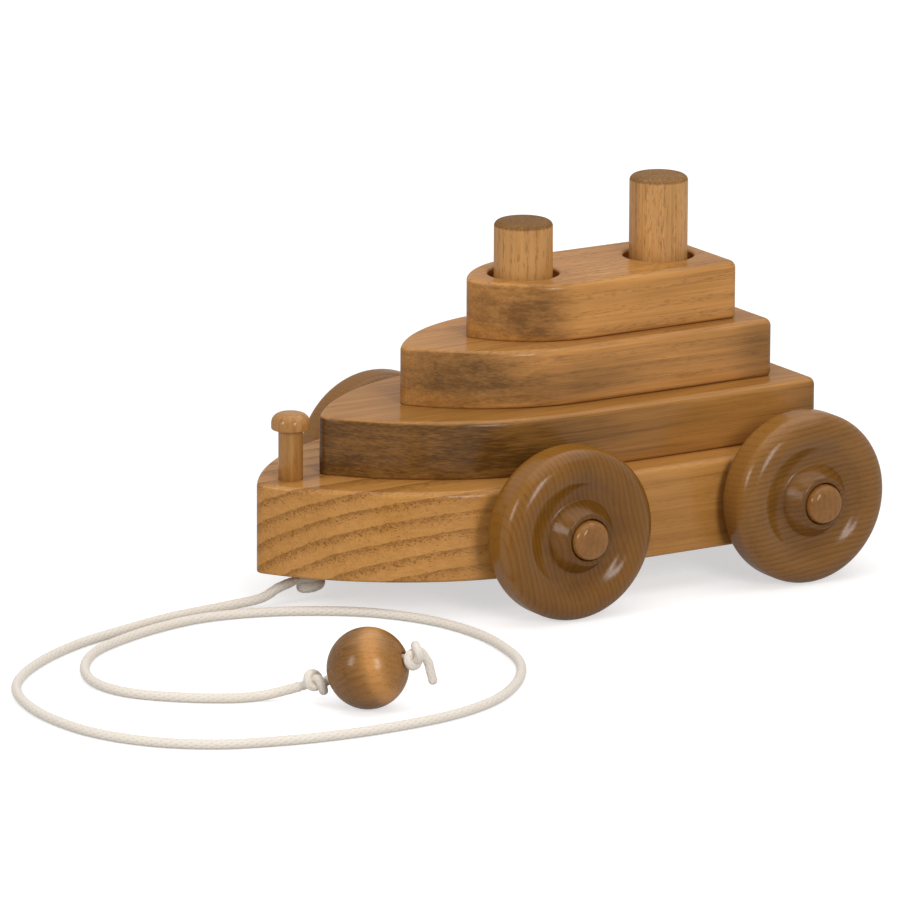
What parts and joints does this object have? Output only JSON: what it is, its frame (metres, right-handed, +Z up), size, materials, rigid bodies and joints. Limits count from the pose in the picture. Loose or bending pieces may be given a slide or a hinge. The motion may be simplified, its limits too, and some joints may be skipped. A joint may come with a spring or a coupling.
{
  "type": "tugboat pull toy",
  "caption": "Wooden tugboat pull toy: bow-shaped hull on turning wheels and axles, lift-off decks stacked on posts, a bow peg, and a knotted pull cord ending in a ball.",
  "frame": {"origin": "on the floor, under the middle of the hull's length and width", "axes": "+X to the bow, +Y to port, +Z up"},
  "size_m": [0.3225, 0.2168, 0.1251],
  "materials": {
    "hull_wood": "satin",
    "lower_deck_wood": "satin",
    "middle_deck_wood": "satin",
    "upper_deck_wood": "satin",
    "post_wood": "satin",
    "peg_wood": "satin",
    "axle_wood": "satin",
    "wheel_wood": "gloss",
    "ball_wood": "gloss",
    "cord": "matte"
  },
  "bodies": {
    "boat": {"hull": "hull_wood", "post_front": "post_wood", "post_rear": "post_wood", "bow_peg": "peg_wood", "hull_knot": "cord", "pull_cord": "cord", "ball_inner_knot": "cord", "cord_in_ball": "cord", "ball_outer_knot": "cord"},
    "lower_deck": {"deck_lower": "lower_deck_wood"},
    "middle_deck": {"deck_middle": "middle_deck_wood"},
    "upper_deck": {"deck_upper": "upper_deck_wood"},
    "front_wheels": {"axle_front": "axle_wood", "wheel_front_port": "wheel_wood", "wheel_front_starboard": "wheel_wood"},
    "rear_wheels": {"axle_rear": "axle_wood", "wheel_rear_port": "wheel_wood", "wheel_rear_starboard": "wheel_wood"},
    "ball": {"pull_ball": "ball_wood"}
  },
  "joints": [
    {"name": "front_wheels_roll", "type": "hinge", "parent": "boat", "child": "front_wheels", "pos_m": [0.0197, 0, 0.028], "axis": [0, 1, 0], "continuous": true},
    {"name": "rear_wheels_roll", "type": "hinge", "parent": "boat", "child": "rear_wheels", "pos_m": [-0.0693, 0, 0.028], "axis": [0, 1, 0], "continuous": true},
    {"name": "lower_deck_lift", "type": "slide", "parent": "boat", "child": "lower_deck", "axis": [0, 0, 1], "range_m": [0, 0.09]},
    {"name": "middle_deck_lift", "type": "slide", "parent": "lower_deck", "child": "middle_deck", "axis": [0, 0, 1], "range_m": [0, 0.071]},
    {"name": "upper_deck_lift", "type": "slide", "parent": "middle_deck", "child": "upper_deck", "axis": [0, 0, 1], "range_m": [0, 0.052]},
    {"name": "ball_spin", "type": "hinge", "parent": "boat", "child": "ball", "pos_m": [0.1293, 0.1154, 0.0127], "axis": [-0.6392, 0.6951, 0.3289], "continuous": true}
  ]
}
